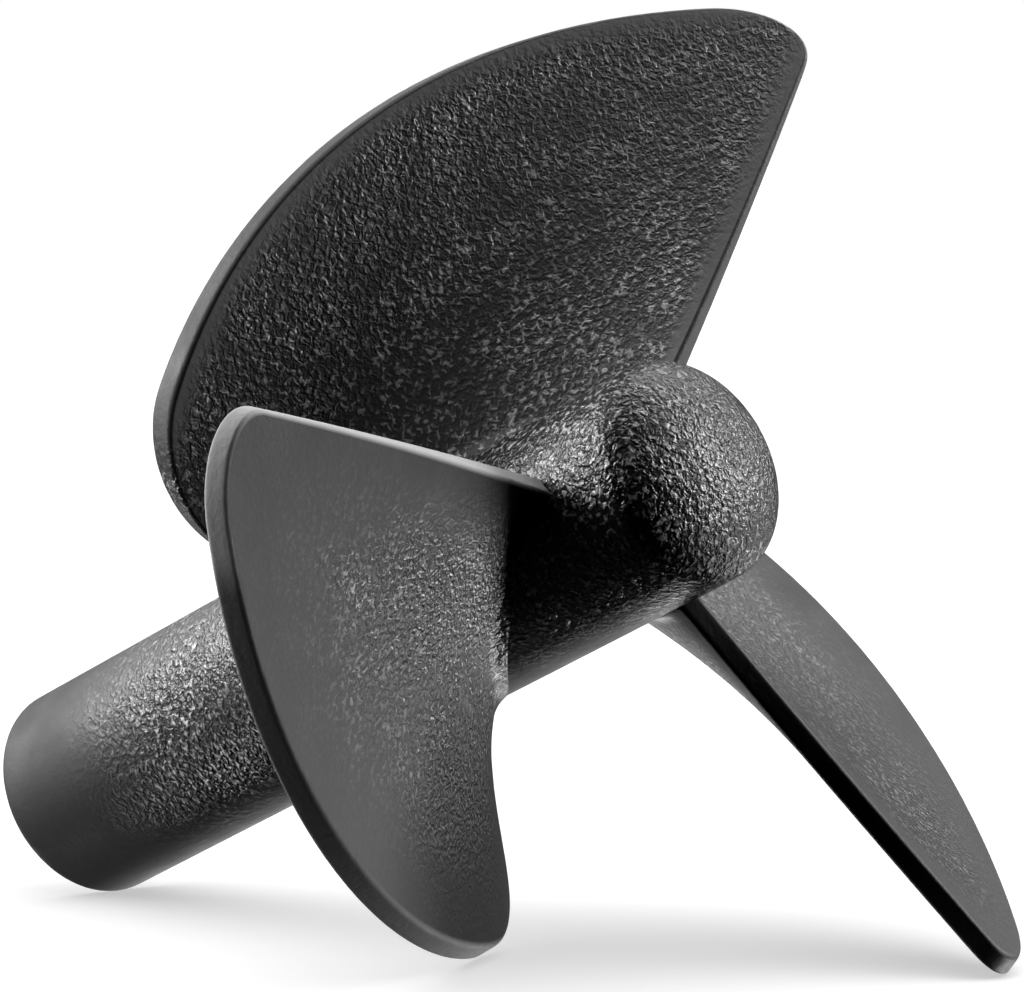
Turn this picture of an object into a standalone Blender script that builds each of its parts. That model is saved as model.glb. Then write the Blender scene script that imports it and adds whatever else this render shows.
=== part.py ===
"""Three-bladed plastic propeller with a long hub, lying on its hub rim and two blade tips."""
import math

import bmesh
import bpy
from mathutils import Matrix, Vector

# Hub: a turned barrel with a rounded nose and a blind shaft bore in its rear end.
HUB_RADIUS = 0.005
BARREL_LENGTH = 0.0425
NOSE_HEIGHT = 0.0024
REAR_ROUNDING = 0.0004
BORE_RADIUS = 0.002
BORE_DEPTH = 0.030
BORE_TIP = 0.0008
BORE_CHAMFER = 0.0004
HUB_STEPS = 48
NOSE_STEPS = 8
ROUNDING_STEPS = 3

# Blade outline: a plate swept round the hub, whose rim shrinks from its forward corner to its aft one.
BLADE_COUNT = 3
BLADE_SWEEP = math.radians(107.1)
TIP_RADIUS = 0.02686
RIM_DROP = 0.01383
RIM_CURL = 0.00187
FORWARD_EDGE_LEAN = 0.039
AFT_EDGE_LEAN = 0.133
FORWARD_CORNER_LENGTH = 0.004
FORWARD_CORNER_HEIGHT = 0.0032
AFT_CORNER_LENGTH = 0.0053
AFT_CORNER_HEIGHT = 0.005

# Blade twist: a helix whose pitch grows from the hub to the rim and eases towards the cupped aft edge.
FORWARD_EDGE_BEHIND_NOSE = 0.00328
PITCH_PER_RADIAN = 0.01132
PITCH_GAIN_TO_TIP = 0.0035
PITCH_LOSS_AT_ROOT = 0.00165
ROOT_FADE = 0.0035
PITCH_LOSS_AFT = 0.00265
PITCH_RETURN_AFT = 0.0006
RAKE = 0.233
AFT_CUP = 0.00222

# Blade section: thicker towards the aft edge, with a slanting rim and small fillets at the hub.
FORWARD_THICKNESS = 0.00108
AFT_THICKNESS = 0.00142
RIM_SLANT = 0.00044
SLANT_POWER = 4
EDGE_ROUNDING = 0.0002
ROOT_FILLET = 0.0006
FILLET_RUN_IN = 0.0025
ROOT_DEPTH = 0.0015
AFT_FOOT = 0.00244
AFT_FOOT_FADE = 0.004

# Blade mesh: columns across the sweep, rows from the root to the rim.
CORNER_STEPS = 5
RIM_STEPS = 14
FILLET_STEPS = 3
PLATE_STEPS = 11
PLATE_CROWDING = 1.3

# Rest: the propeller leans on its rear rim and on the blades beside its lowest side.
FIRST_GUESS_DOWN = Vector((-0.7, -0.6, -0.4))
SETTLING_ROUNDS = 30

PLASTIC_COLOUR = (0.035, 0.036, 0.038, 1.0)
PLASTIC_ROUGHNESS = 0.62


def clear_scene():
    """Remove everything that a new file holds."""
    for thing in list(bpy.data.objects):
        bpy.data.objects.remove(thing, do_unlink=True)


def make_collection(name):
    """Add a collection to the scene."""
    collection = bpy.data.collections.new(name)
    bpy.context.scene.collection.children.link(collection)
    return collection


def make_plastic():
    """Black moulded plastic."""
    plastic = bpy.data.materials.new("black_plastic")
    plastic.use_nodes = True
    shader = plastic.node_tree.nodes["Principled BSDF"]
    shader.inputs["Base Color"].default_value = PLASTIC_COLOUR
    shader.inputs["Roughness"].default_value = PLASTIC_ROUGHNESS
    shader.inputs["Metallic"].default_value = 0.0
    return plastic


def hub_profile():
    """Half section of the hub, from the top of the nose down its outer side and up the bore."""
    points = []
    for step in range(NOSE_STEPS + 1):
        turn = 0.5 * math.pi * step / NOSE_STEPS
        points.append((HUB_RADIUS * math.sin(turn), NOSE_HEIGHT * math.cos(turn)))
    rear = -BARREL_LENGTH
    for step in range(ROUNDING_STEPS + 1):
        turn = 0.5 * math.pi * step / ROUNDING_STEPS
        radius = HUB_RADIUS - REAR_ROUNDING * (1.0 - math.cos(turn))
        points.append((radius, rear + REAR_ROUNDING * (1.0 - math.sin(turn))))
    points.append((BORE_RADIUS + BORE_CHAMFER, rear))
    points.append((BORE_RADIUS, rear + BORE_CHAMFER))
    points.append((BORE_RADIUS, rear + BORE_DEPTH))
    points.append((0.0, rear + BORE_DEPTH + BORE_TIP))
    return points


def make_hub(collection, plastic):
    """Turn the hub's half section round the shaft's axis."""
    mesh = bpy.data.meshes.new("propeller")
    points = [(x, 0.0, z) for x, z in hub_profile()]
    mesh.from_pydata(points, [(i, i + 1) for i in range(len(points) - 1)], [])
    hub = bpy.data.objects.new("propeller", mesh)
    collection.objects.link(hub)
    hub.data.materials.append(plastic)
    screw = hub.modifiers.new("turned hub", "SCREW")
    screw.axis = "Z"
    screw.steps = HUB_STEPS
    screw.render_steps = HUB_STEPS
    screw.use_merge_vertices = True
    screw.merge_threshold = 0.00001
    screw.use_smooth_shade = True
    return hub


def rim_radius(across):
    """Radius of the blade's rim, which shrinks from the forward corner to the aft corner."""
    return TIP_RADIUS - RIM_DROP * across + RIM_CURL * across ** 2


def rim_length():
    """Length of the rim along the sweep."""
    mean_radius = TIP_RADIUS - RIM_DROP / 2.0 + RIM_CURL / 3.0
    return BLADE_SWEEP * mean_radius


def corner_cut(distance, length, height):
    """How far an elliptical corner of this length and height pulls the rim in at this distance."""
    if distance >= length:
        return 0.0
    return height * (1.0 - math.sqrt(1.0 - (1.0 - distance / length) ** 2))


def top_radius(across):
    """Radius where the blade ends, with both corners rounded."""
    length = rim_length()
    cut = corner_cut(across * length, FORWARD_CORNER_LENGTH, FORWARD_CORNER_HEIGHT)
    cut += corner_cut((1.0 - across) * length, AFT_CORNER_LENGTH, AFT_CORNER_HEIGHT)
    return rim_radius(across) - cut


def columns_across():
    """Places of the columns from the forward edge (0) to the aft edge (1), closer in the corners."""
    length = rim_length()
    places = []
    for step in range(CORNER_STEPS):
        turn = 0.5 * math.pi * step / CORNER_STEPS
        places.append(FORWARD_CORNER_LENGTH * (1.0 - math.cos(turn)) / length)
    first = FORWARD_CORNER_LENGTH / length
    last = 1.0 - AFT_CORNER_LENGTH / length
    for step in range(RIM_STEPS + 1):
        places.append(first + (last - first) * step / RIM_STEPS)
    for step in range(1, CORNER_STEPS + 1):
        turn = 0.5 * math.pi * step / CORNER_STEPS
        places.append(last + AFT_CORNER_LENGTH * math.sin(turn) / length)
    return places


def fillet(across, radius):
    """Extra half thickness where the blade's faces run into the hub, which fades out at both edges."""
    from_edge = min(across, 1.0 - across) * rim_length()
    share = min(from_edge / FILLET_RUN_IN, 1.0)
    return share * corner_cut(max(radius - HUB_RADIUS, 0.0), ROOT_FILLET, ROOT_FILLET)


def rows_to_rim(across):
    """Radii from inside the hub, through the fillet, to the rim."""
    radii = [HUB_RADIUS - ROOT_DEPTH]
    for step in range(FILLET_STEPS):
        turn = 0.5 * math.pi * step / FILLET_STEPS
        radii.append(HUB_RADIUS + ROOT_FILLET * (1.0 - math.cos(turn)))
    start = HUB_RADIUS + ROOT_FILLET
    reach = top_radius(across) - start
    for step in range(PLATE_STEPS + 1):
        radii.append(start + reach * (step / PLATE_STEPS) ** PLATE_CROWDING)
    return radii


def slanted(across, radius, side):
    """Radius of a point after the rim's slant, which makes the forward face a little smaller."""
    if side < 0:
        return radius
    share = max(radius - HUB_RADIUS, 0.0) / (rim_radius(across) - HUB_RADIUS)
    return radius - RIM_SLANT * share ** SLANT_POWER


def blade_point(across, plain_radius, side):
    """Point on the forward face (side 1) or the aft face (side -1), in the hub's frame."""
    radius = slanted(across, plain_radius, side)
    outward = (radius - HUB_RADIUS) / (TIP_RADIUS - HUB_RADIUS)
    near_root = math.exp(-max(radius - HUB_RADIUS, 0.0) / ROOT_FADE)
    lean = FORWARD_EDGE_LEAN * (1.0 - across) - AFT_EDGE_LEAN * across
    turn = across * BLADE_SWEEP + lean * outward
    pitch = PITCH_PER_RADIAN + PITCH_GAIN_TO_TIP * outward - PITCH_LOSS_AT_ROOT * near_root
    height = -FORWARD_EDGE_BEHIND_NOSE - pitch * turn
    height += PITCH_LOSS_AFT * turn ** 2 - PITCH_RETURN_AFT * turn ** 3
    height += RAKE * (radius - HUB_RADIUS) + AFT_CUP * (across * outward) ** 2
    slope = pitch - 2.0 * PITCH_LOSS_AFT * turn + 3.0 * PITCH_RETURN_AFT * turn ** 2
    length = math.hypot(radius, slope)
    thickness = FORWARD_THICKNESS + (AFT_THICKNESS - FORWARD_THICKNESS) * across
    half = side * (0.5 * thickness + fillet(across, radius))
    foot = across * AFT_FOOT * math.exp(-(radius - HUB_RADIUS) / AFT_FOOT_FADE)
    turn += (half * slope + foot * radius) / (length * radius)
    height += (half * radius - foot * slope) / length
    return Vector((radius * math.cos(turn), radius * math.sin(turn), height))


def make_blade(index, collection):
    """One blade as a closed solid: its two faces, the rim, both edges and its foot in the hub."""
    shape = bmesh.new()
    faces = []
    for side in (1, -1):
        grid = []
        for across in columns_across():
            radii = rows_to_rim(across)
            grid.append([shape.verts.new(blade_point(across, radius, side)) for radius in radii])
        faces.append(grid)
    front, back = faces
    last_column = len(front) - 1
    last_row = len(front[0]) - 1
    for i in range(last_column):
        for j in range(last_row):
            shape.faces.new((front[i][j], front[i][j + 1], front[i + 1][j + 1], front[i + 1][j]))
            shape.faces.new((back[i][j], back[i + 1][j], back[i + 1][j + 1], back[i][j + 1]))
    for i in range(last_column):
        for j in (0, last_row):
            shape.faces.new((front[i][j], front[i + 1][j], back[i + 1][j], back[i][j]))
    for j in range(last_row):
        for i in (0, last_column):
            shape.faces.new((front[i][j], front[i][j + 1], back[i][j + 1], back[i][j]))
    bmesh.ops.recalc_face_normals(shape, faces=shape.faces[:])
    mesh = bpy.data.meshes.new("blade_%d" % (index + 1))
    shape.to_mesh(mesh)
    shape.free()
    blade = bpy.data.objects.new(mesh.name, mesh)
    collection.objects.link(blade)
    blade.rotation_euler.z = 2.0 * math.pi * index / BLADE_COUNT
    blade.hide_render = True
    blade.display_type = "WIRE"
    bevel = blade.modifiers.new("rounded rim", "BEVEL")
    bevel.width = EDGE_ROUNDING
    bevel.segments = 2
    bevel.limit_method = "ANGLE"
    bevel.angle_limit = math.radians(55.0)
    return blade


def join_blade(hub, blade):
    """Grow the blade out of the hub, as one moulding."""
    union = hub.modifiers.new("joined " + blade.name, "BOOLEAN")
    union.operation = "UNION"
    union.solver = "EXACT"
    union.object = blade


def local_points(thing):
    """The finished points of an object, in the hub's frame."""
    finished = thing.evaluated_get(bpy.context.evaluated_depsgraph_get())
    mesh = finished.to_mesh()
    turn = Matrix.Rotation(thing.rotation_euler.z, 3, "Z")
    points = [turn @ vertex.co for vertex in mesh.vertices]
    finished.to_mesh_clear()
    return points


def level_down(groups):
    """Downward direction for which the lowest points of the three groups lie on one level."""
    down = FIRST_GUESS_DOWN.normalized()
    for _ in range(SETTLING_ROUNDS):
        feet = [max(group, key=down.dot) for group in groups]
        normal = (feet[1] - feet[0]).cross(feet[2] - feet[0]).normalized()
        down = normal if normal.dot(down) > 0.0 else -normal
    return down


def rest_on_floor(stand, hub_points, blade_points):
    """Lay the propeller on its rear rim and two blades, with its nose towards +X, on the floor."""
    rear_rim = [point for point in hub_points if point.z < 0.0]
    down = level_down([rear_rim, blade_points[1], blade_points[2]])
    up = -down
    nose = Vector((0.0, 0.0, 1.0))
    ahead = (nose - up * nose.dot(up)).normalized()
    left = up.cross(ahead)
    turn = Matrix((ahead, left, up))
    points = [turn @ point for group in [hub_points] + blade_points for point in group]
    low = [min(point[axis] for point in points) for axis in range(3)]
    high = [max(point[axis] for point in points) for axis in range(3)]
    place = Vector((-(low[0] + high[0]) / 2.0, -(low[1] + high[1]) / 2.0, -low[2]))
    stand.matrix_world = Matrix.Translation(place) @ turn.to_4x4()


def main():
    """Model the propeller and lay it down."""
    clear_scene()
    parts = make_collection("ship_propeller")
    cutters = make_collection("blade_solids")
    plastic = make_plastic()
    hub = make_hub(parts, plastic)
    blades = [make_blade(index, cutters) for index in range(BLADE_COUNT)]
    bpy.context.view_layer.update()
    hub_points = local_points(hub)
    blade_points = [local_points(blade) for blade in blades]
    stand = bpy.data.objects.new("rest_pose", None)
    parts.objects.link(stand)
    rest_on_floor(stand, hub_points, blade_points)
    hub.parent = stand
    for blade in blades:
        blade.parent = stand
        join_blade(hub, blade)
    bpy.context.view_layer.update()


main()
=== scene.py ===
"""Looks of a moulded model boat propeller: its skin, its black plastic, the studio and the camera.

The hub and the three blades are fine skins over the part's one solid. They are modelled in the hub's
own frame, with the nose along +Z and the first blade's forward edge along +X, and are then laid down
in the pose in which the real propeller rests on its rear rim and two blades.
"""
import logging
import math
from dataclasses import dataclass, field
from enum import Enum

import bmesh
import bpy
import numpy as np
from mathutils import Matrix, Vector


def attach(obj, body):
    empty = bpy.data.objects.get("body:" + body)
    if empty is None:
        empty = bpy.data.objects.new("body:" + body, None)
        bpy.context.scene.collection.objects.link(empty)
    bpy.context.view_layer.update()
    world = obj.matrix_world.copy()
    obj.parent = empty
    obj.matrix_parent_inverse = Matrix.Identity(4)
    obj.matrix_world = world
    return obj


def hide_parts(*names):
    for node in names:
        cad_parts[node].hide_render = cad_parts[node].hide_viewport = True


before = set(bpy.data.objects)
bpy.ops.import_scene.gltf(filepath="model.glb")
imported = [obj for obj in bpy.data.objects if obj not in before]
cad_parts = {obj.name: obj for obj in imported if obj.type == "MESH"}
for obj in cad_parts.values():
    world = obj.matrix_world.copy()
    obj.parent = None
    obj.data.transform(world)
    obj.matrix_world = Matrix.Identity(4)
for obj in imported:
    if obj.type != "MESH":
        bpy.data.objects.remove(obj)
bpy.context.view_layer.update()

BODY = "root"
NODE = "propeller"
GRAIN_LAYER = "grain"
PAINTED_LIGHT_LAYER = "painted_light"
TOPS_LAYER = "tops"

Socket = bpy.types.NodeSocket
Colour = tuple[float, float, float, float]
WHITE: Colour = (1.0, 1.0, 1.0, 1.0)

log = logging.getLogger("propeller")


class BladePlace(Enum):
    """Where each blade lies as the propeller rests, with its place in the turn round the hub."""

    UPPER = 0
    LEFT = 1
    RIGHT = 2


class SkinMesh:
    """Grids of points that are welded into one closed mesh, each with three values of its finish.

    Points less than WELD apart, in metres, become one.
    """

    WELD = 1e-9

    def __init__(self) -> None:
        """Start with no points."""
        self.points: list[np.ndarray] = []
        self.layers: dict[str, list[np.ndarray]] = {GRAIN_LAYER: [], PAINTED_LIGHT_LAYER: [], TOPS_LAYER: []}
        self.faces: list[tuple[int, ...]] = []
        self.count = 0

    def add_grid(
        self,
        points: np.ndarray,
        grain: np.ndarray,
        painted_light: np.ndarray | float = 0.0,
        tops: np.ndarray | float = 1.0,
    ) -> np.ndarray:
        """Add a grid of points, with a face in each of its cells.

        Args:
            points: Array of shape (columns, rows, 3), in metres.
            grain: Array of shape (columns, rows), from 0 where the plastic is smooth to 1.
            painted_light: How much paler each point is painted, as painted light, from 0 to 1.
            tops: How much the tops of the grain are painted paler than the rest, partly as grain and partly
                as painted glints.

        Returns:
            The index of each point, in an array of shape (columns, rows).
        """
        columns, rows = grain.shape
        index = self.count + np.arange(columns * rows).reshape(columns, rows)
        self.points.append(points.reshape(-1, 3))
        for name, values in ((GRAIN_LAYER, grain), (PAINTED_LIGHT_LAYER, painted_light), (TOPS_LAYER, tops)):
            self.layers[name].append(np.broadcast_to(values, grain.shape).reshape(-1))
        self.count += columns * rows
        corners = np.stack((index[:-1, :-1], index[:-1, 1:], index[1:, 1:], index[1:, :-1]), axis=-1)
        self.faces.extend(map(tuple, corners.reshape(-1, 4).tolist()))
        return index

    def add_face(self, corners: list[int]) -> None:
        """Close an end with one face over points that are there already."""
        self.faces.append(tuple(corners))

    def to_object(self, name: str) -> bpy.types.Object:
        """Weld the grids and make the piece.

        Args:
            name: Name of the piece.

        Returns:
            The piece, shaded smooth, with its faces pointing out and three vertex layers.
        """
        points = np.concatenate(self.points)
        keys = np.round(points / self.WELD).astype(np.int64)
        _, first, welded = np.unique(keys, axis=0, return_index=True, return_inverse=True)
        welded = welded.reshape(-1)
        faces = []
        for face in self.faces:
            corners = [int(welded[corner]) for corner in face]
            corners = [c for i, c in enumerate(corners) if c != corners[i - 1]]
            if len(corners) > 2:
                faces.append(corners)
        mesh = bpy.data.meshes.new(name)
        mesh.from_pydata(points[first].tolist(), [], faces)
        for name_of_layer, values in self.layers.items():
            layer = mesh.attributes.new(name_of_layer, "FLOAT", "POINT")
            layer.data.foreach_set("value", np.concatenate(values)[first].astype(np.float32))
        self._point_out(mesh)
        mesh.shade_smooth()
        piece = bpy.data.objects.new(name, mesh)
        bpy.context.scene.collection.objects.link(piece)
        return piece

    @staticmethod
    def _point_out(mesh: bpy.types.Mesh) -> None:
        """Turn the faces of a mesh so that they point out.

        Args:
            mesh: The closed mesh.
        """
        shape = bmesh.new()
        shape.from_mesh(mesh)
        bmesh.ops.recalc_face_normals(shape, faces=shape.faces[:])
        shape.to_mesh(mesh)
        shape.free()


def smooth_step(value: np.ndarray, low: float, high: float) -> np.ndarray:
    """Rise softly from 0 at the low value to 1 at the high one.

    Args:
        value: Any array.
        low: Value up to which the result is 0.
        high: Value from which the result is 1.

    Returns:
        An array of the same shape.
    """
    share = np.clip((value - low) / (high - low), 0.0, 1.0)
    return share * share * (3.0 - 2.0 * share)


def steps_to(start: float, end: float, count: int) -> np.ndarray:
    """Even steps from one value to another, without the first value."""
    return np.linspace(start, end, count + 1)[1:]


def corner_cut(distance: np.ndarray, length: float, height: float) -> np.ndarray:
    """How far an elliptical corner pulls a rim in.

    Args:
        distance: Distance from the edge where the corner starts.
        length: Length of the corner along the rim.
        height: How far the corner drops in all.

    Returns:
        The drop at each distance.
    """
    share = np.clip(1.0 - distance / length, 0.0, 1.0)
    return height * (1.0 - np.sqrt(1.0 - share ** 2))


def direction(azimuth: float, elevation: float) -> Vector:
    """Direction from the propeller to something that stands round it.

    Args:
        azimuth: Angle round the propeller, in degrees; 0 is at -Y and 90 at +X.
        elevation: Angle above the floor, in degrees.

    Returns:
        A vector of length 1.
    """
    turn, rise = math.radians(azimuth), math.radians(elevation)
    return Vector((math.sin(turn) * math.cos(rise), -math.cos(turn) * math.cos(rise), math.sin(rise)))


@dataclass(frozen=True)
class RestingPose:
    """How the propeller lies on the floor.

    Attributes:
        nose_lean: Angle of the nose above the floor.
        roll: Turn of the first blade round the hub's axis.
        place: Where the foot of the nose lies, in metres.
    """

    nose_lean: float = math.radians(23.5277)
    roll: float = math.radians(139.7633)
    place: tuple[float, float, float] = (0.015473, 0.003226, 0.021416)

    def matrix(self) -> Matrix:
        """The matrix that takes the hub's frame to the floor's frame."""
        tip_over = Matrix.Rotation(math.pi / 2.0 - self.nose_lean, 4, "Y")
        return Matrix.Translation(self.place) @ tip_over @ Matrix.Rotation(self.roll, 4, "Z")


@dataclass(frozen=True)
class MouldWaves:
    """Low waves that the mould leaves in the plastic, cut into the skin's own mesh.

    Attributes:
        depth: How deep the waves go below the skin, in metres.
        length: Size of one wave, in metres.
        octaves: How often finer waves are added.
    """

    depth: float = 0.000016
    length: float = 0.00055
    octaves: int = 2

    def carve(self, piece: bpy.types.Object) -> None:
        """Sink the waves into a piece.

        Args:
            piece: The skin, which gets a Displace modifier.
        """
        clouds = bpy.data.textures.new("mould_waves", "CLOUDS")
        clouds.noise_scale = self.length
        clouds.noise_depth = self.octaves
        clouds.noise_basis = "IMPROVED_PERLIN"
        waves = piece.modifiers.new("mould waves", "DISPLACE")
        waves.texture = clouds
        waves.texture_coords = "LOCAL"
        waves.direction = "NORMAL"
        waves.mid_level = 1.0
        waves.strength = self.depth


class NodeBench:
    """Adds and joins the nodes of one material, set out in even steps to the left of its shader."""

    STEP_ACROSS = 210.0
    STEP_DOWN = 230.0

    def __init__(self, name: str) -> None:
        """Make a material with a Principled shader.

        Args:
            name: Name of the material.
        """
        self.material = bpy.data.materials.new(name)
        self.material.use_nodes = True
        self.tree = self.material.node_tree
        self.shader = self.tree.nodes["Principled BSDF"]

    def add(self, kind: str, column: int, row: int, **settings: object) -> bpy.types.Node:
        """Add a node.

        Args:
            kind: Blender's name of the node's type.
            column: Its place to the left of the shader, in steps.
            row: Its place below the shader, in steps.
            **settings: Properties of the node.

        Returns:
            The new node.
        """
        node = self.tree.nodes.new(kind)
        node.location = (-column * self.STEP_ACROSS, -row * self.STEP_DOWN)
        for key, value in settings.items():
            setattr(node, key, value)
        return node

    def join(self, value: Socket | float | Colour, target: Socket) -> None:
        """Link a socket to another one, or set that one where the value is a constant.

        Args:
            value: Where the value comes from, or the value itself.
            target: The socket that takes it.
        """
        if isinstance(value, Socket):
            self.tree.links.new(value, target)
        else:
            target.default_value = value

    def attribute(self, name: str, column: int, row: int) -> Socket:
        """Add an Attribute node that reads one layer of the mesh."""
        return self.add("ShaderNodeAttribute", column, row, attribute_name=name).outputs["Fac"]

    def maths(
        self, operation: str, column: int, row: int, first: Socket | float, second: Socket | float
    ) -> Socket:
        """Add a Math node whose two values are sockets or numbers.

        Args:
            operation: Name of the operation.
            column: Its place to the left of the shader, in steps.
            row: Its place below the shader, in steps.
            first: First value.
            second: Second value.

        Returns:
            The node's output socket.
        """
        node = self.add("ShaderNodeMath", column, row, operation=operation)
        for target, value in zip(node.inputs, (first, second)):
            self.join(value, target)
        return node.outputs[0]

    def spread(self, value: Socket, column: int, row: int, source: tuple, target: tuple) -> Socket:
        """Add a Map Range node.

        Args:
            value: Socket of the value to map.
            column: Its place to the left of the shader, in steps.
            row: Its place below the shader, in steps.
            source: Lowest and highest value that come in.
            target: Values that they become, which are numbers or sockets.

        Returns:
            The node's output socket.
        """
        node = self.add("ShaderNodeMapRange", column, row)
        self.join(value, node.inputs["Value"])
        names = ("From Min", "From Max", "To Min", "To Max")
        for name, end in zip(names, source + target):
            self.join(end, node.inputs[name])
        return node.outputs["Result"]

    def blend(
        self, share: Socket, column: int, row: int, first: Socket | Colour, second: Socket | Colour
    ) -> Socket:
        """Add a Mix node for two colours, which are sockets or constants.

        Args:
            share: Socket that says how much of the second colour shows.
            column: Its place to the left of the shader, in steps.
            row: Its place below the shader, in steps.
            first: First colour.
            second: Second colour.

        Returns:
            The node's colour socket.
        """
        node = self.add("ShaderNodeMix", column, row, data_type="RGBA")
        self.join(share, node.inputs[0])
        colours = [socket for socket in node.inputs if socket.type == "RGBA"]
        for target, value in zip(colours, (first, second)):
            self.join(value, target)
        return next(socket for socket in node.outputs if socket.type == "RGBA")

    def noise(self, place: Socket, column: int, row: int, size: float, **inputs: float) -> Socket:
        """Add a Noise Texture.

        Args:
            place: Socket of the coordinates.
            column: Its place to the left of the shader, in steps.
            row: Its place below the shader, in steps.
            size: Size of one spot, in metres.
            **inputs: Values of the node's other inputs, by name.

        Returns:
            The node's value socket.
        """
        node = self.add("ShaderNodeTexNoise", column, row)
        self.join(place, node.inputs["Vector"])
        node.inputs["Scale"].default_value = 1.0 / size
        for name, number in inputs.items():
            node.inputs[name].default_value = number
        return node.outputs[0]


@dataclass(frozen=True)
class GrainSockets:
    """What the plastic's colour, gloss and relief are all worked out from.

    Attributes:
        place: Coordinates on the piece.
        share: Share of grain.
        painted_light: How much paler the plastic is painted, as painted light.
        tops: How much the tops of the grain are painted paler than the rest, partly as grain and partly as
            painted glints.
        spots: Noise of the spots.
        pits: Noise of the finest pits.
        patches: Noise of the duller and brighter patches.
    """

    place: Socket
    share: Socket
    painted_light: Socket
    tops: Socket
    spots: Socket
    pits: Socket
    patches: Socket


@dataclass(frozen=True)
class GrainyPlastic:
    """Black plastic with the spotty grain of a spark-eroded mould.

    The noises run from 0 to 1 and stay mostly near 0.5, so the ranges below pick out the part of them
    that counts.

    Attributes:
        dark: Colour of the plastic.
        pale_and_glint: Colour of the tops of the grain, partly their own pale tone and partly painted
            glints.
        painted_light_colour: Colour of the rims and edges where light is painted most, as painted light.
        dust: Colour of the few light specks.
        tops_range: Heights of the spots between which their tops turn pale.
        patch_range: Values of the patches between which the tops show more.
        least_tops: Share of the pale tops that is left in the darkest patches.
        grain_roughness: Roughness of the plastic on the grain.
        plain_roughness: Roughness where there is no grain.
        painted_light_dullness: How much rougher the plastic is where light is painted most.
        middle_range: Middle heights of the spots and the patches.
        pits_and_tops: Share of the grain's roughness that its pits and its tops have.
        wide_range: Wider range of the patches.
        patch_gloss: Share of the roughness in the duller and the brighter patches.
        spot_size: Size of one spot of the grain, in metres.
        pit_size: Size of the finest pits, in metres.
        patch_size: Size of the duller and brighter patches, in metres.
        dust_spacing: Distance between two light specks, in metres.
        dust_size: Radius of a light speck, in metres.
        dust_core: Share of that radius over which a speck is fully light.
        grain_depth: Height of the spots, in metres.
        pit_share: Depth of the finest pits, as a share of the spots' height.
        flattest: Share of the relief that is left in the flattest patches.
        least_grain: Share of the grain that is left where the plastic is smooth.
    """

    dark: Colour = (0.006, 0.006, 0.0062, 1.0)
    pale_and_glint: Colour = (0.60, 0.60, 0.602, 1.0)
    painted_light_colour: Colour = (0.34, 0.34, 0.341, 1.0)
    dust: Colour = (0.65, 0.65, 0.65, 1.0)
    tops_range: tuple[float, float] = (0.55, 0.70)
    patch_range: tuple[float, float] = (0.36, 0.66)
    least_tops: float = 0.25
    grain_roughness: float = 0.29
    plain_roughness: float = 0.62
    painted_light_dullness: float = 0.25
    middle_range: tuple[float, float] = (0.35, 0.65)
    pits_and_tops: tuple[float, float] = (1.25, 0.72)
    wide_range: tuple[float, float] = (0.3, 0.7)
    patch_gloss: tuple[float, float] = (1.08, 0.92)
    spot_size: float = 0.00026
    pit_size: float = 0.00010
    patch_size: float = 0.0026
    dust_spacing: float = 0.0045
    dust_size: float = 0.00009
    dust_core: float = 0.5
    grain_depth: float = 0.00024
    pit_share: float = 0.20
    flattest: float = 0.55
    least_grain: float = 0.06

    def make(self) -> bpy.types.Material:
        """Make the material.

        Returns:
            The plastic, with colour, roughness and bump from its nodes.
        """
        bench = NodeBench("black_plastic_grain")
        place = bench.add("ShaderNodeTexCoord", 8, 1).outputs["Object"]
        layer = bench.attribute(GRAIN_LAYER, 8, 3)
        grain = GrainSockets(
            place=place,
            share=bench.spread(layer, 7, 3, (0.0, 1.0), (self.least_grain, 1.0)),
            painted_light=bench.attribute(PAINTED_LIGHT_LAYER, 4, 2),
            tops=bench.attribute(TOPS_LAYER, 5, 2),
            spots=bench.noise(place, 7, 1, self.spot_size, Detail=1.2, Distortion=0.5),
            pits=bench.noise(place, 7, 4, self.pit_size, Detail=1.0),
            patches=bench.noise(place, 7, 5, self.patch_size, Detail=3.0, Roughness=0.6),
        )
        self._colour(bench, grain)
        self._dullness(bench, grain)
        self._relief(bench, grain)
        return bench.material

    def _colour(self, bench: NodeBench, grain: GrainSockets) -> None:
        """Paint rims, edges and faces paler as painted light, paint the tops of the grain paler as grain and
        painted glints, and scatter a few light specks.

        Args:
            bench: Bench of the material.
            grain: Sockets of the grain.
        """
        # Painted glints: the pale tops are partly the grain's own pale tone and partly painted glints that
        # stand in for sparkle.
        tops = bench.spread(grain.spots, 5, 0, self.tops_range, (0.0, 1.0))
        window = bench.spread(grain.patches, 5, 5, self.patch_range, (self.least_tops, 1.0))
        shown = bench.maths("MULTIPLY", 4, 0, tops, window)
        squared = bench.maths("MULTIPLY", 5, 1, grain.share, grain.share)
        paleness = bench.maths("MULTIPLY", 4, 1, grain.tops, squared)
        shown = bench.maths("MULTIPLY", 3, 0, shown, paleness)
        # Painted light: rims, edges and the upper blade's forward face are painted paler where lamps would
        # light them, with a painted highlight along the left blade's forward edge.
        plain = bench.blend(grain.painted_light, 3, 1, self.dark, self.painted_light_colour)
        spotty = bench.blend(shown, 2, 0, plain, self.pale_and_glint)
        specks = bench.add("ShaderNodeTexVoronoi", 5, -1)
        specks.inputs["Scale"].default_value = 1.0 / self.dust_spacing
        bench.join(grain.place, specks.inputs["Vector"])
        edge = self.dust_size / self.dust_spacing
        near = bench.spread(specks.outputs["Distance"], 3, -1, (edge, self.dust_core * edge), (0.0, 1.0))
        bench.join(bench.blend(near, 1, 0, spotty, self.dust), bench.shader.inputs["Base Color"])

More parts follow.
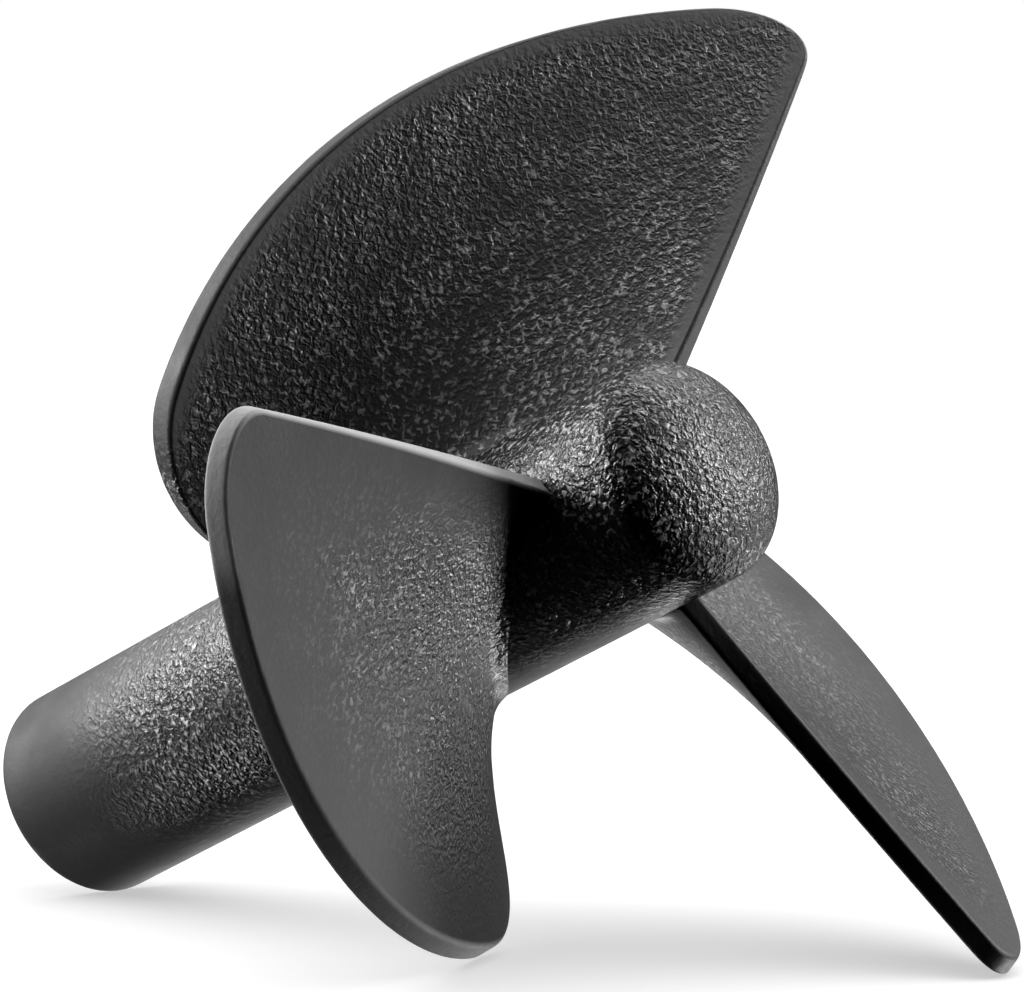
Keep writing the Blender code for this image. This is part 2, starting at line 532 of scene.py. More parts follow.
    def _dullness(self, bench: NodeBench, grain: GrainSockets) -> None:
        """Make the grain shinier than the plain plastic, most of all on its tops, and the places with
        painted light dull.

        Args:
            bench: Bench of the material.
            grain: Sockets of the grain.
        """
        pits_and_tops = tuple(share * self.grain_roughness for share in self.pits_and_tops)
        spotty = bench.spread(grain.spots, 4, 5, self.middle_range, pits_and_tops)
        rough = bench.spread(grain.share, 3, 5, (self.least_grain, 1.0), (self.plain_roughness, spotty))
        window = bench.spread(grain.patches, 3, 6, self.wide_range, self.patch_gloss)
        rough = bench.maths("MULTIPLY", 2, 5, rough, window)
        painted_dullness = bench.maths("MULTIPLY", 2, 3, grain.painted_light, self.painted_light_dullness)
        bench.join(bench.maths("ADD", 1, 2, rough, painted_dullness), bench.shader.inputs["Roughness"])

    def _relief(self, bench: NodeBench, grain: GrainSockets) -> None:
        """Raise the spots, with the finest pits on them.

        Args:
            bench: Bench of the material.
            grain: Sockets of the grain.
        """
        fine = bench.maths("MULTIPLY", 5, 4, grain.pits, self.pit_share)
        coarse = bench.spread(grain.patches, 4, 6, self.middle_range, (self.flattest, 1.0))
        bump = bench.add("ShaderNodeBump", 1, 4)
        bump.inputs["Distance"].default_value = self.grain_depth
        bench.join(bench.maths("MULTIPLY", 3, 4, grain.share, coarse), bump.inputs["Strength"])
        bench.join(bench.maths("ADD", 4, 4, grain.spots, fine), bump.inputs["Height"])
        bench.join(bump.outputs["Normal"], bench.shader.inputs["Normal"])


@dataclass(frozen=True)
class StudioPaper:
    """White paper that glows a little, as an overlit backdrop does.

    Attributes:
        colour: Colour of the paper.
        glow: Light that it gives of its own.
        roughness: How dull its smoothest and its roughest fibres are.
        fibre_range: Values of the fibres between which it gets rougher.
        fibre_size: Size of its fibres, in metres.
        fibre_height: Height of its fibres, in metres.
        fibre_strength: How much of that height shows.
    """

    colour: Colour = (0.80, 0.80, 0.80, 1.0)
    glow: float = 0.52
    roughness: tuple[float, float] = (0.85, 0.95)
    fibre_range: tuple[float, float] = (0.2, 0.8)
    fibre_size: float = 0.0009
    fibre_height: float = 0.00002
    fibre_strength: float = 0.3

    def make(self) -> bpy.types.Material:
        """Make the material.

        Returns:
            The paper.
        """
        bench = NodeBench("studio_paper")
        bench.shader.inputs["Base Color"].default_value = self.colour
        bench.shader.inputs["Specular IOR Level"].default_value = 0.0
        bench.shader.inputs["Emission Color"].default_value = WHITE
        bench.shader.inputs["Emission Strength"].default_value = self.glow
        place = bench.add("ShaderNodeTexCoord", 5, 1).outputs["Object"]
        fibres = bench.noise(place, 4, 1, self.fibre_size, Detail=3.0)
        dull = bench.spread(fibres, 2, 1, self.fibre_range, self.roughness)
        bench.join(dull, bench.shader.inputs["Roughness"])
        bump = bench.add("ShaderNodeBump", 1, 3)
        bump.inputs["Distance"].default_value = self.fibre_height
        bump.inputs["Strength"].default_value = self.fibre_strength
        bench.join(fibres, bump.inputs["Height"])
        bench.join(bump.outputs["Normal"], bench.shader.inputs["Normal"])
        return bench.material


@dataclass
class Hub:
    """The turned hub: a long barrel with a rounded nose and a blind shaft bore in its rear end.

    Attributes:
        radius: Radius of the barrel, in metres.
        length: Length of the barrel.
        nose_height: Height of the rounded nose.
        rear_rounding: Rounding of the rear rim.
        bore_radius: Radius of the shaft bore.
        bore_depth: Depth of the shaft bore.
        bore_tip: Height of the cone at the bore's end.
        bore_chamfer: Chamfer at the bore's mouth.
        margin: How far the skin stays inside the part's solid.
        steps_round: Faces round the hub.
        nose_steps: Faces from the nose's tip to the barrel.
        barrel_steps: Faces along the barrel.
        rounding_steps: Faces across the rear rim's rounding.
        ring_steps: Faces across the flat ring round the bore.
        chamfer_steps: Faces across the bore's chamfer.
        bore_steps: Faces along the bore.
        grain: Share of grain on the barrel.
        smooth_side: Direction round the axis in which the barrel has the least grain.
        smooth_reach: Angles from that direction between which the grain comes in.
        nose_grain: Depth below the nose down to which the grain is even all round.
        rear_reach: Where the rear end is wholly smooth and where it starts, as shares of the length.
        tops: How much the tops of the grain are painted paler than the rest, partly as grain and partly as
            painted glints.
        far_tops: Share of that which is left on the side away from the painted glints.
        glint_side: Direction round the axis of the side where the glints are painted most.
        glint_reach: Angles from that direction between which the painted glints fade.
    """

    radius: float = 0.005
    length: float = 0.0425
    nose_height: float = 0.0024
    rear_rounding: float = 0.0004
    bore_radius: float = 0.002
    bore_depth: float = 0.030
    bore_tip: float = 0.0008
    bore_chamfer: float = 0.0004
    margin: float = 0.00001
    steps_round: int = 240
    nose_steps: int = 40
    barrel_steps: int = 240
    rounding_steps: int = 8
    ring_steps: int = 12
    chamfer_steps: int = 3
    bore_steps: int = 20
    grain: float = 0.85
    smooth_side: float = math.radians(-122.0)
    smooth_reach: tuple[float, float] = (math.radians(15.0), math.radians(62.0))
    nose_grain: float = 0.008
    rear_reach: tuple[float, float] = (0.92, 0.68)
    tops: float = 1.5
    far_tops: float = 0.2
    glint_side: float = math.radians(148.0)
    glint_reach: tuple[float, float] = (math.radians(85.0), math.radians(135.0))

    def profile(self) -> np.ndarray:
        """Half section of the hub, from the top of the nose round to the end of the bore.

        Returns:
            Array of (radius, height) rows.
        """
        radius = self.radius - self.margin
        rear = -self.length + self.margin
        barrel_end = rear + self.rear_rounding
        chamfer_end = rear + self.bore_chamfer
        bore_end = rear + self.bore_depth
        mouth = self.bore_radius + self.bore_chamfer
        nose_turn = np.linspace(0.0, math.pi / 2.0, self.nose_steps + 1)
        turn = steps_to(0.0, math.pi / 2.0, self.rounding_steps)
        rim = radius - self.rear_rounding * (1.0 - np.cos(turn))
        runs = (
            (radius * np.sin(nose_turn), self.nose_height * np.cos(nose_turn)),
            (radius, steps_to(0.0, barrel_end, self.barrel_steps)),
            (rim, barrel_end - self.rear_rounding * np.sin(turn)),
            (steps_to(radius - self.rear_rounding, mouth, self.ring_steps), rear),
            (
                steps_to(mouth, self.bore_radius, self.chamfer_steps),
                steps_to(rear, chamfer_end, self.chamfer_steps),
            ),
            (self.bore_radius, steps_to(chamfer_end, bore_end, self.bore_steps)),
            ([0.0], [bore_end + self.bore_tip]),
        )
        return np.concatenate([np.stack(np.broadcast_arrays(*run), axis=1) for run in runs])

    def rear_share(self, height: np.ndarray) -> np.ndarray:
        """How far each height lies in the smooth rear end, from 0 to 1."""
        smooth, start = self.rear_reach
        return 1.0 - smooth_step(height, -smooth * self.length, -start * self.length)

    def tops_at(self, turn: np.ndarray) -> np.ndarray:
        """How much paler the tops of the grain are painted at each angle round the axis, palest on the glint
        side as painted glints.
        """
        # The tops are painted palest on the glint side, as painted glints, and darker away from it.
        away = smooth_step(np.arccos(np.cos(turn - self.glint_side)), *self.glint_reach)
        return self.tops * (1.0 - (1.0 - self.far_tops) * away)

    def grain_at(self, turn: np.ndarray, height: np.ndarray) -> np.ndarray:
        """Share of grain, which fades towards the rear end and on one side.

        Args:
            turn: Angles round the hub's axis.
            height: Heights along the hub's axis.

        Returns:
            The share at each place.
        """
        along = 1.0 - self.rear_share(height)
        aside = smooth_step(np.arccos(np.cos(turn - self.smooth_side)), *self.smooth_reach)
        behind = smooth_step(-height, 0.0, self.nose_grain)
        return self.grain * along * (1.0 - behind * (1.0 - aside))

    def build(self) -> bpy.types.Object:
        """Turn the half section round the axis.

        Returns:
            The hub's skin, in the hub's frame.
        """
        outline = self.profile()
        turns = np.linspace(0.0, 2.0 * math.pi, self.steps_round, endpoint=False)
        turns = np.append(turns, 0.0)
        points = np.stack(
            (
                np.cos(turns)[:, None] * outline[None, :, 0],
                np.sin(turns)[:, None] * outline[None, :, 0],
                np.broadcast_to(outline[None, :, 1], (len(turns), len(outline))),
            ),
            axis=-1,
        )
        grain = self.grain_at(turns[:, None], outline[None, :, 1])
        skin = SkinMesh()
        skin.add_grid(points, grain, tops=self.tops_at(turns[:, None]))
        return skin.to_object("hub")


@dataclass
class Blade:
    """One blade: a twisted plate with a rounded, slightly slanting rim, swept round the hub.

    Places on it are given by two numbers: how far across the sweep, from the forward edge (0) to the
    aft edge (1), and the radius from the hub's axis. A level of 1 is the forward face, -1 the aft one.

    Attributes:
        place: Which blade it is.
        grain: Share of grain in the middle of its faces.
        border_grain: Share of that grain which is left at the rim and the edges.
        grain_run_in: Distance from the rim over which the grain grows to its full share.
        edge_run_in: Share of that distance over which it grows at the two edges.
        bare_rim: Width of the strip along the rim that has no grain.
        bare_edge: Width of the strips along the edges that have none.
        painted_light: How much paler the rim and the edges are painted, as painted light.
        forward_painted_light: How much paler still the forward edge and its corner are painted, as painted
            light.
        forward_reach: Distances along the rim between which that extra painted light ends.
        face_painted_light: How much paler the forward face is painted, as painted light.
        border_painted_light: How much paler still that face's smooth border is painted, as painted light.
        tops: How much the tops of the grain are painted paler than the rest, partly as grain and partly as
            painted glints.
        aft_tops: Share of that which is left on the aft face.
        root_tops: How much paler still they are close to the hub.
        root_tops_reach: Radii between which that ends.
        hub_radius: Radius of the hub.
        sweep: Angle from the forward edge to the aft edge.
        tip_radius: Radius of the forward end of the rim.
        rim_drop: How much the rim's radius shrinks towards its aft end.
        rim_curl: How much of that drop eases out at the end.
        forward_lean: Turn of the forward edge between hub and tip.
        aft_lean: Turn of the aft edge between hub and tip.
        forward_corner: Length and height of the forward corner.
        aft_corner: Length and height of the aft corner.
        behind_nose: How far the forward edge starts behind the nose.
        pitch: Drop along the axis for each radian, at the hub.
        pitch_gain: Pitch that is added out at the tip.
        pitch_loss_at_root: Pitch that is lost close to the hub.
        root_fade: Distance from the hub over which that loss fades.
        pitch_loss: Pitch that is lost towards the aft edge.
        pitch_return: How much of that loss eases out at the end.
        rake: Rise along the axis for each metre outward.
        aft_cup: Height of the curl at the aft edge.
        forward_thickness: Thickness at the forward edge.
        aft_thickness: Thickness at the aft edge.
        rim_slant: How much smaller the forward face is at the rim.
        slant_power: How quickly that slant sets in near the rim.
        rounding: Rounding of the rim and the edges.
        fillet: Fillet where the faces meet the hub.
        fillet_run_in: Distance from each edge over which the fillet grows to its full size.
        root_depth: How deep the foot stands in the hub.
        aft_foot: Widening of the aft edge at the hub.
        aft_foot_fade: Distance over which that widening fades.
        margin: How far the skin stays inside the part's solid.
        corner_columns: Columns of points in each corner.
        rim_columns: Columns along the rim between the corners.
        root_rows: Rows of points from the foot to the end of the fillet.
        plate_rows: Rows from there to the rim.
        rounding_steps: Rings across each rounding of the rim.
        band_steps: Faces across the flat of the rim.
    """

    place: BladePlace
    grain: float = 1.0
    border_grain: float = 0.08
    grain_run_in: float = 0.0030
    edge_run_in: float = 0.7
    bare_rim: float = 0.0002
    bare_edge: float = 0.0001
    painted_light: float = 0.30
    forward_painted_light: float = 0.0
    forward_reach: tuple[float, float] = (0.0045, 0.0064)
    face_painted_light: float = 0.0
    border_painted_light: float = 0.0
    tops: float = 1.2
    aft_tops: float = 0.3
    root_tops: float = 0.0
    root_tops_reach: tuple[float, float] = (0.009, 0.018)
    hub_radius: float = 0.005
    sweep: float = math.radians(107.1)
    tip_radius: float = 0.02686
    rim_drop: float = 0.01383
    rim_curl: float = 0.00187
    forward_lean: float = 0.039
    aft_lean: float = 0.133
    forward_corner: tuple[float, float] = (0.0040, 0.0032)
    aft_corner: tuple[float, float] = (0.0053, 0.0050)
    behind_nose: float = 0.00328
    pitch: float = 0.01132
    pitch_gain: float = 0.0035
    pitch_loss_at_root: float = 0.00165
    root_fade: float = 0.0035
    pitch_loss: float = 0.00265
    pitch_return: float = 0.0006
    rake: float = 0.233
    aft_cup: float = 0.00222
    forward_thickness: float = 0.00108
    aft_thickness: float = 0.00142
    rim_slant: float = 0.00044
    slant_power: int = 4
    rounding: float = 0.00024
    fillet: float = 0.0006
    fillet_run_in: float = 0.0025
    root_depth: float = 0.0007
    aft_foot: float = 0.00244
    aft_foot_fade: float = 0.0040
    margin: float = 0.00003
    corner_columns: int = 26
    rim_columns: int = 210
    root_rows: int = 14
    plate_rows: int = 112
    rounding_steps: int = 6
    band_steps: int = 4

    @property
    def rim_length(self) -> float:
        """Length of the rim along the sweep."""
        return self.sweep * (self.tip_radius - self.rim_drop / 2.0 + self.rim_curl / 3.0)

    def rim_radius(self, across: np.ndarray) -> np.ndarray:
        """Radius of the rim before its corners are rounded."""
        return self.tip_radius - self.margin - self.rim_drop * across + self.rim_curl * across ** 2

    def columns(self) -> np.ndarray:
        """Places across the sweep, closer together in the two corners.

        Returns:
            Rising numbers from 0 to 1.
        """
        first = self.forward_corner[0] / self.rim_length
        last = 1.0 - self.aft_corner[0] / self.rim_length
        turn = np.linspace(0.0, math.pi / 2.0, self.corner_columns, endpoint=False)
        rim = np.linspace(first, last, self.rim_columns)
        closing = last + (1.0 - last) * np.sin(math.pi / 2.0 - turn[::-1])
        return np.concatenate((first * (1.0 - np.cos(turn)), rim, closing))

    def top(self, column: np.ndarray, inset: float) -> np.ndarray:
        """Radius where the blade ends, with both corners rounded.

        Args:
            column: Places across the sweep.
            inset: How far inside the rim the outline runs.

        Returns:
            The radius at each place.
        """
        length = self.rim_length - 2.0 * inset
        along = column * length
        cut = corner_cut(along, self.forward_corner[0] - inset, self.forward_corner[1] - inset)
        cut = cut + corner_cut(length - along, self.aft_corner[0] - inset, self.aft_corner[1] - inset)
        return self.rim_radius(column) - inset - cut

    def slope(self, turn: np.ndarray, pitch: np.ndarray) -> np.ndarray:
        """Drop along the axis for each radian at a place on the blade."""
        return pitch - 2.0 * self.pitch_loss * turn + 3.0 * self.pitch_return * turn ** 2

    def points(self, column: np.ndarray, radius: np.ndarray, level: float, inset: float) -> np.ndarray:
        """Points of the blade, in the hub's frame.

        Args:
            column: Places across the sweep, inside the inset edges.
            radius: Radii from the axis.
            level: Place in the thickness, from -1 (aft face) to 1 (forward face).
            inset: How far the outline runs inside the edges.

        Returns:
            Array with a last axis of x, y and z, in metres.
        """
        reach = self.tip_radius - self.hub_radius
        sides = (inset + self.margin) / (self.sweep * np.hypot(radius, self.pitch))
        across = sides + column * (1.0 - 2.0 * sides)
        share = np.maximum(radius - self.hub_radius, 0.0) / (self.rim_radius(across) - self.hub_radius)
        radius = radius - self.rim_slant * 0.5 * (1.0 + level) * share ** self.slant_power
        outward = (radius - self.hub_radius) / reach
        lean = self.forward_lean * (1.0 - across) - self.aft_lean * across
        turn = across * self.sweep + lean * outward
        near_root = np.exp(-np.maximum(radius - self.hub_radius, 0.0) / self.root_fade)
        pitch = self.pitch + self.pitch_gain * outward - self.pitch_loss_at_root * near_root
        height = -self.behind_nose - pitch * turn
        height = height + self.pitch_loss * turn ** 2 - self.pitch_return * turn ** 3
        height = height + self.rake * (radius - self.hub_radius) + self.aft_cup * (across * outward) ** 2
        slope = self.slope(turn, pitch)
        length = np.hypot(radius, slope)
        thickness = self.forward_thickness + (self.aft_thickness - self.forward_thickness) * across
        rise = np.maximum(radius - self.hub_radius, 0.0)
        from_edge = np.minimum(across, 1.0 - across) * self.rim_length
        fillet = np.minimum(from_edge / self.fillet_run_in, 1.0) * corner_cut(rise, self.fillet, self.fillet)
        half = level * (0.5 * thickness - self.margin + fillet)
        foot = across * self.aft_foot * np.exp(-(radius - self.hub_radius) / self.aft_foot_fade)
        turn = turn + (half * slope + foot * radius) / (length * radius)
        height = height + (half * radius - foot * slope) / length
        return np.stack((radius * np.cos(turn), radius * np.sin(turn), height), axis=-1)

    def inner_share(self, column: np.ndarray, radius: np.ndarray) -> np.ndarray:
        """How far each place lies inside the smooth border of a face.

        Args:
            column: Places across the sweep.
            radius: Radii from the axis.

        Returns:
            A share at each place, from 0 at the rim and the edges to 1.
        """
        from_rim = smooth_step(self.rim_radius(column) - radius, self.bare_rim, self.grain_run_in)
        to_edge = np.minimum(column, 1.0 - column) * self.rim_length
        return from_rim * smooth_step(to_edge, self.bare_edge, self.edge_run_in * self.grain_run_in)

    def band_painted_light(self, column: np.ndarray, lines: int) -> np.ndarray:
        """Painted light on the rounded band round the rim, which is full over its middle two thirds.

        Args:
            column: Places across the sweep along the band.
            lines: Number of lines across the band.

        Returns:
            The wear at each of the band's points.
        """
        forward = 1.0 - smooth_step(column * self.rim_length, *self.forward_reach)
        along = self.painted_light + self.forward_painted_light * forward
        across = np.minimum(2.0 * np.sin(np.linspace(0.0, math.pi, lines)), 1.0)
        return along[:, None] * across[None, :]

    def climb(self, ends: np.ndarray) -> np.ndarray:
        """Radii of the rows of points, from the foot in the hub up to the rim.

        Args:
            ends: Radius where each column ends.

        Returns:
            The radii, with the rows along the last axis.
        """
        shoulder = self.hub_radius + self.fillet
        root = np.linspace(self.hub_radius - self.root_depth, shoulder, self.root_rows, endpoint=False)
        plate = shoulder + np.linspace(0.0, 1.0, self.plate_rows) * (ends[..., None] - shoulder)
        return np.concatenate((np.broadcast_to(root, plate.shape[:-1] + root.shape), plate), axis=-1)

    def face(self, level: float) -> tuple[np.ndarray, np.ndarray, np.ndarray]:
        """One face of the blade, as far as the rounding of its rim.

        Args:
            level: 1 for the forward face, -1 for the aft one.

        Returns:
            Its grid of points, how far each lies inside the smooth border, and how pale the tops of the
            grain are there.
        """
        columns = self.columns()
        radius = self.climb(self.top(columns, self.rounding))
        column = np.broadcast_to(columns[:, None], radius.shape)
        tops = self.tops + self.root_tops * (1.0 - smooth_step(radius, *self.root_tops_reach))
        return self.points(column, radius, level, self.rounding), self.inner_share(column, radius), tops

    def rings(self) -> list[tuple[float, float]]:
        """Find the rings of points between the two faces.

        Returns:
            The inset and the share of the half thickness of each ring.
        """
        turn = steps_to(0.0, math.pi / 2.0, self.rounding_steps)
        inset = self.rounding * (1.0 - np.sin(turn))
        sunk = self.rounding * (1.0 - np.cos(turn))
        half = 0.25 * (self.forward_thickness + self.aft_thickness)
        level = 1.0 - sunk / half
        band = np.linspace(level[-1], -level[-1], self.band_steps + 1)[1:-1]
        rings = list(zip(inset, level))
        rings += [(0.0, value) for value in band]
        rings += [(start, -value) for start, value in reversed(list(zip(inset, level)))]
        return rings

    @staticmethod
    def border(grid: np.ndarray) -> np.ndarray:
        """The edge of a face, up the forward edge, along the rim and down the aft edge.

        Args:
            grid: Grid of the face's points, numbers or indices.

        Returns:
            The grid's values along that line.
        """
        return np.concatenate((grid[0, :-1], grid[:, -1], grid[-1, -2::-1]))

    def build(self) -> bpy.types.Object:
        """Join the two faces by the rounded rim and close the foot.

        Returns:
            The blade's skin, in the hub's frame.
        """
        skin = SkinMesh()
        forward, inner, tops = self.face(1.0)
        aft, _, _ = self.face(-1.0)
        grain = self.grain * (self.border_grain + (1.0 - self.border_grain) * inner)
        # Painted light: the forward face and the band round the rim are painted paler, the aft face is not.
        face_painted_light = self.face_painted_light + self.border_painted_light * (1.0 - inner)
        skin.add_grid(forward, grain, face_painted_light, tops)
        skin.add_grid(aft, grain, 0.0, self.aft_tops * tops)
        columns = self.columns()
        column = self.border(np.broadcast_to(columns[:, None], grain.shape))
        rings = [self.edge_line(column, level, inset) for inset, level in self.rings()]
        band = np.stack([self.border(forward), *rings, self.border(aft)], axis=1)
        band_grain = np.broadcast_to(self.border(grain)[:, None], band.shape[:2])
        index = skin.add_grid(band, band_grain, self.band_painted_light(column, band.shape[1]))
        skin.add_grid(np.stack((forward[:, 0], aft[:, 0]), axis=1), np.zeros((len(columns), 2)))
        skin.add_face(index[0].tolist())
        skin.add_face(index[-1].tolist())
        piece = skin.to_object(self.place.name.lower() + "_blade")
        turn = Matrix.Rotation(2.0 * math.pi * self.place.value / len(BladePlace), 4, "Z")
        piece.data.transform(turn)
        return piece

    def edge_line(self, column: np.ndarray, level: float, inset: float) -> np.ndarray:
        """One ring round the rim, from the forward foot to the aft foot.

        Args:
            column: Places across the sweep along the ring.
            level: Place in the thickness.
            inset: How far the ring runs inside the edges.

        Returns:
            The ring's points.
        """
        ends = self.top(self.columns(), inset)
        radius = np.concatenate((self.climb(ends[0])[:-1], ends, self.climb(ends[-1])[-2::-1]))
        return self.points(column, radius, level, inset)


@dataclass
class Propeller:
    """The whole propeller, as it lies on the floor.

    Attributes:
        pose: How it lies.
        waves: Waves of the mould.
        plastic: Its one plastic.
        hub: The hub.
        blades: The three blades.
    """

    pose: RestingPose = field(default_factory=RestingPose)
    waves: MouldWaves = field(default_factory=MouldWaves)
    plastic: GrainyPlastic = field(default_factory=GrainyPlastic)
    hub: Hub = field(default_factory=Hub)
    blades: list[Blade] = field(
        default_factory=lambda: [
            # The upper blade's face and the left blade's rim and forward edge carry painted light.
            Blade(
                BladePlace.UPPER,
                grain=0.85,
                grain_run_in=0.0018,
                painted_light=0.04,
                face_painted_light=0.26,
                border_painted_light=0.26,
                tops=1.0,
                root_tops=1.5,
            ),
            Blade(
                BladePlace.LEFT,
                grain=0.8,
                grain_run_in=0.0095,
                painted_light=0.22,
                forward_painted_light=0.78,
                tops=0.9,
            ),
            Blade(BladePlace.RIGHT, grain=0.5, grain_run_in=0.0050, painted_light=0.0),
        ]
    )

    def build(self) -> list[bpy.types.Object]:
        """Build and dress the four skins.

        Returns:
            The pieces, in place.
        """
        plastic = self.plastic.make()
        pieces = [self.hub.build()] + [blade.build() for blade in self.blades]
        for piece in pieces:
            self.dress(piece, plastic)
        return pieces

    def dress(self, piece: bpy.types.Object, plastic: bpy.types.Material) -> None:
        """Lay a piece down, give it its finish and fasten it to the frame.

        Args:
            piece: The skin, in the hub's frame.
            plastic: Its material.
        """
        piece.data.transform(self.pose.matrix())
        piece.data.materials.append(plastic)
        self.waves.carve(piece)
        bpy.context.view_layer.update()
        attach(piece, BODY)
        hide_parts(NODE)


@dataclass(frozen=True)
class SoftBox:
    """A large soft lamp that faces the propeller.

    Attributes:
        name: Name of the lamp.
        azimuth: Where it stands round the propeller, in degrees, as seen from above; 0 is at -Y.
        elevation: How high it stands, in degrees.
        power: Power in watts.
        size: Width and height, in metres.
        distance: Distance from the propeller, in metres.
    """

    name: str
    azimuth: float
    elevation: float
    power: float
    size: tuple[float, float] = (0.3, 0.3)
    distance: float = 0.9

    def hang(self, target: Vector) -> bpy.types.Object:
        """Hang the lamp.

        Args:
            target: The point that it faces.

        Returns:
            The lamp.
        """
        lamp = bpy.data.lights.new(self.name, "AREA")
        lamp.shape = "RECTANGLE"
        lamp.size, lamp.size_y = self.size
        lamp.energy = self.power
        holder = bpy.data.objects.new(self.name, lamp)
        away = direction(self.azimuth, self.elevation)
        holder.location = target + away * self.distance
        holder.rotation_euler = away.to_track_quat("Z", "Y").to_euler()
        holder.visible_camera = False
        bpy.context.scene.collection.objects.link(holder)
        return holder


@dataclass(frozen=True)
class PaperLight:
    """A wide even light from above that falls on the paper alone.

    Attributes:
        strength: Strength in watts for each square metre.
        spread: How wide it is in the sky, in degrees.
        height: How high its holder hangs, in metres.
    """

    strength: float = 2.9
    spread: float = 110.0
    height: float = 1.0

    def hang(self, paper: bpy.types.Object) -> bpy.types.Object:
        """Hang the light over the paper.

        Args:
            paper: The floor that it lights.

        Returns:
            The light.
        """
        lamp = bpy.data.lights.new("paper_light", "SUN")
        lamp.energy = self.strength
        lamp.angle = math.radians(self.spread)
        holder = bpy.data.objects.new("paper_light", lamp)
        holder.location = (0.0, 0.0, self.height)
        bpy.context.scene.collection.objects.link(holder)
        lit = bpy.data.collections.new("lit_by_paper_light")
        lit.objects.link(paper)
        holder.light_linking.receiver_collection = lit
        return holder


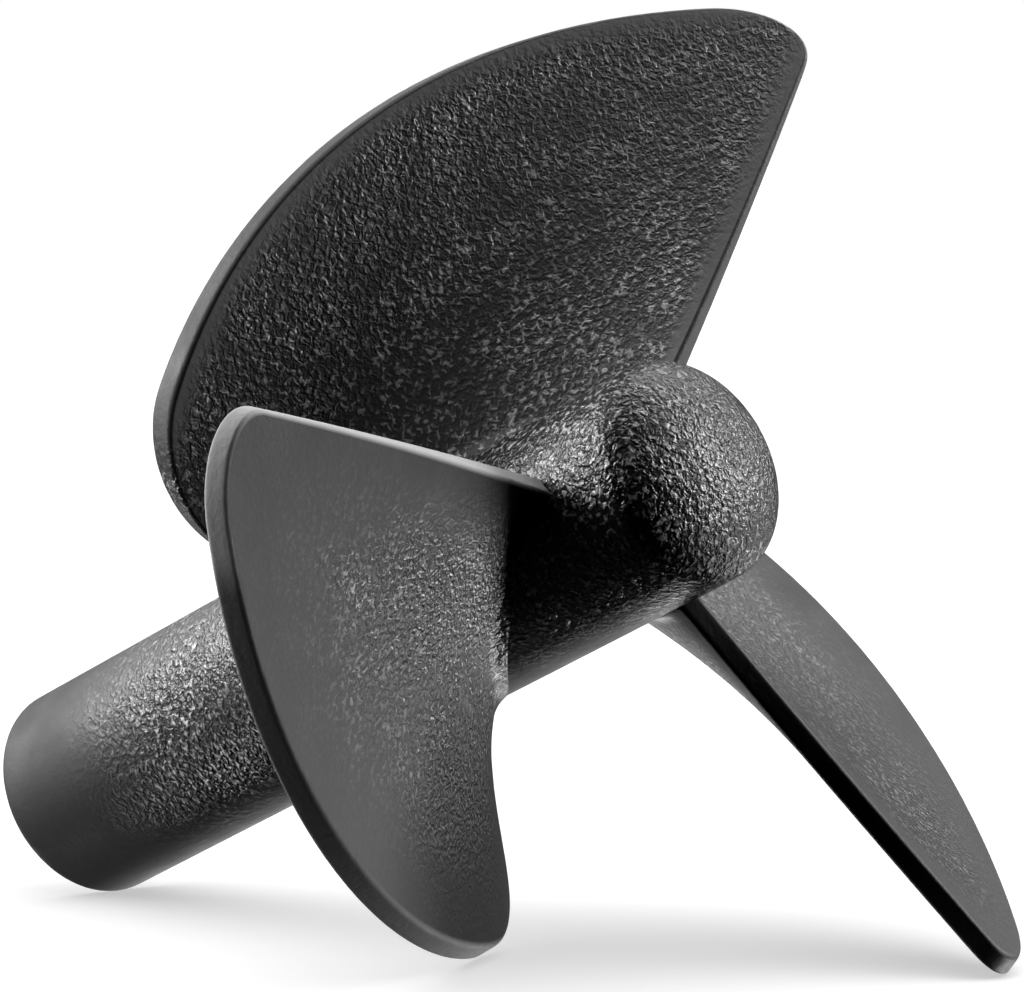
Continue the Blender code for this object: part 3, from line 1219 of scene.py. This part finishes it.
@dataclass
class Studio:
    """White paper floor, white surroundings and soft lamps.

    Attributes:
        floor_radius: Radius of the round floor, in metres.
        floor_steps: Corners of the round floor.
        centre: The point that the lamps face.
        surround: Brightness of the surroundings as they light the propeller.
        background: Brightness of the bare background in the picture.
        paper: The floor's finish.
        paper_light: The light on the floor.
        lamps: The soft lamps.
    """

    floor_radius: float = 6.0
    floor_steps: int = 96
    centre: Vector = field(default_factory=lambda: Vector((0.0, 0.0, 0.02)))
    surround: float = 0.0
    background: float = 1.0
    paper: StudioPaper = field(default_factory=StudioPaper)
    paper_light: PaperLight = field(default_factory=PaperLight)
    lamps: list[SoftBox] = field(
        default_factory=lambda: [
            SoftBox("left_low_box", -34.0, 6.0, 3.4),
            SoftBox("left_middle_box", -59.0, 22.0, 9.2),
            SoftBox("left_high_box", -44.0, 45.0, 1.6),
            SoftBox("left_back_box", -99.0, 22.0, 1.3),
            SoftBox("left_bounce", -44.0, -15.0, 0.7),
            SoftBox("left_rear_bounce", -89.0, -40.0, 1.7),
            SoftBox("right_middle_box", 151.0, 22.0, 7.6),
            SoftBox("right_rear_box", 166.0, 22.0, 1.4),
            SoftBox("right_high_box", 136.0, 45.0, 1.4),
            SoftBox("right_bounce", 136.0, -15.0, 2.3),
            SoftBox("right_rear_bounce", 181.0, -15.0, 0.7),
            SoftBox("right_deep_bounce", 181.0, -40.0, 3.7),
            SoftBox("back_bounce", 226.0, -25.0, 1.2),
            SoftBox("back_left_box", 236.0, 25.0, 0.9),
            SoftBox("back_high_box", 196.0, 45.0, 2.5),
            SoftBox("top_box", 226.0, 75.0, 3.6),
        ]
    )

    def lay_floor(self) -> bpy.types.Object:
        """Lay the paper.

        Returns:
            The floor, which throws no light back at it.
        """
        mesh = bpy.data.meshes.new("paper_floor")
        shape = bmesh.new()
        bmesh.ops.create_circle(shape, cap_ends=True, radius=self.floor_radius, segments=self.floor_steps)
        shape.to_mesh(mesh)
        shape.free()
        floor = bpy.data.objects.new("paper_floor", mesh)
        bpy.context.scene.collection.objects.link(floor)
        mesh.materials.append(self.paper.make())
        floor.visible_diffuse = False
        floor.visible_glossy = False
        floor.visible_shadow = False
        return floor

    def light_surroundings(self) -> None:
        """Make the world white to look at and dark as a source of light."""
        world = bpy.data.worlds.new("studio_air")
        bpy.context.scene.world = world
        world.use_nodes = True
        nodes, links = world.node_tree.nodes, world.node_tree.links
        air = nodes["Background"]
        air.inputs["Color"].default_value = WHITE
        path = nodes.new("ShaderNodeLightPath")
        strength = nodes.new("ShaderNodeMapRange")
        strength.inputs["To Min"].default_value = self.surround
        strength.inputs["To Max"].default_value = self.background
        links.new(path.outputs["Is Camera Ray"], strength.inputs["Value"])
        links.new(strength.outputs["Result"], air.inputs["Strength"])

    def set_up(self) -> None:
        """Lay the floor, light the room and hang the lamps, which spare the floor."""
        bpy.context.scene.view_settings.view_transform = "Standard"
        floor = self.lay_floor()
        self.paper_light.hang(floor)
        self.light_surroundings()
        spared = bpy.data.collections.new("spared_by_lamps")
        spared.objects.link(floor)
        spared.collection_objects[0].light_linking.link_state = "EXCLUDE"
        for lamp in self.lamps:
            lamp.hang(self.centre).light_linking.receiver_collection = spared


@dataclass(frozen=True)
class PhotoCamera:
    """The camera, where the photograph was taken from.

    Attributes:
        azimuth: Where it stands round the propeller, in degrees.
        elevation: How high it stands, in degrees.
        roll: How far its picture is turned, in degrees.
        distance: Distance from the point that it faces, in metres.
        aim: The point that it faces.
        lens: Focal length, in millimetres.
        sensor: Width of its sensor, in millimetres.
        sight: Nearest and farthest distance that it sees, in metres.
    """

    azimuth: float = 45.814
    elevation: float = 3.576
    roll: float = 0.493
    distance: float = 0.246316
    aim: tuple[float, float, float] = (0.010493, -0.001992, 0.020370)
    lens: float = 205.40
    sensor: float = 36.0
    sight: tuple[float, float] = (0.01, 50.0)

    def stand(self) -> bpy.types.Object:
        """Put up the camera and make it the scene's own.

        Returns:
            The camera.
        """
        data = bpy.data.cameras.new("photo_camera")
        data.lens = self.lens
        data.sensor_width = self.sensor
        data.clip_start, data.clip_end = self.sight
        camera = bpy.data.objects.new("photo_camera", data)
        back = direction(self.azimuth, self.elevation)
        facing = back.to_track_quat("Z", "Y").to_matrix().to_4x4()
        turned = facing @ Matrix.Rotation(math.radians(self.roll), 4, "Z")
        camera.matrix_world = Matrix.Translation(Vector(self.aim) + back * self.distance) @ turned
        bpy.context.scene.collection.objects.link(camera)
        bpy.context.scene.camera = camera
        return camera


def report_piece(piece: bpy.types.Object) -> None:
    """Log a piece's name and how fine its mesh is.

    Args:
        piece: The piece.
    """
    triangles = sum(len(face.vertices) - 2 for face in piece.data.polygons)
    log.info("%s: %d triangles", piece.name, triangles)


def main() -> None:
    """Build the camera, the studio and the propeller, and report each piece."""
    logging.basicConfig(level=logging.INFO, format="%(message)s")
    PhotoCamera().stand()
    Studio().set_up()
    for piece in Propeller().build():
        report_piece(piece)


if __name__ == "__main__":
    main()
